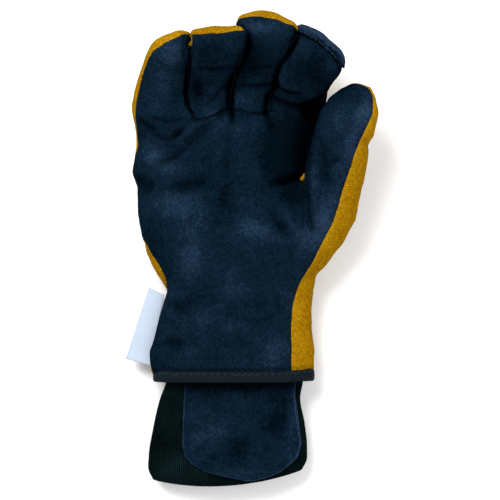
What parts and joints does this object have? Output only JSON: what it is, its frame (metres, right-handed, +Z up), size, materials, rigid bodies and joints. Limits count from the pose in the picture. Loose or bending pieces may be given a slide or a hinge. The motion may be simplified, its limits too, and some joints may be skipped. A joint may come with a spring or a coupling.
{
  "type": "firefighter glove",
  "caption": "Hollow right-hand firefighter glove: navy suede palm, gold suede back, bound cuff, knit wristlet and suede wrist tongue.",
  "frame": {"origin": "on the flat patch of the back of the hand that the glove rests on, at the middle of the palm's length", "axes": "+X to the thumb side, +Y to the fingertips, +Z up out of the palm"},
  "size_m": [0.1701, 0.3199, 0.0776],
  "materials": {
    "navy_suede": "matt navy suede with a short nap, lighter where the nap lies over",
    "gold_suede": "matt gold-tan suede with a grainy nap",
    "black_binding": "woven black tape with a slight sheen",
    "black_knit": "black rib knit, matt",
    "white_tape": "blank bluish white label tape, smooth"
  },
  "bodies": {
    "root": {"palm_panel": "navy_suede", "ring_front": "navy_suede", "middle_front": "navy_suede", "index_cap": "navy_suede", "wrist_tongue": "navy_suede", "back_panel": "gold_suede", "crotch_stay": "gold_suede", "hem_binding": "black_binding", "wristlet": "black_knit", "side_label": "white_tape"}
  },
  "joints": []
}
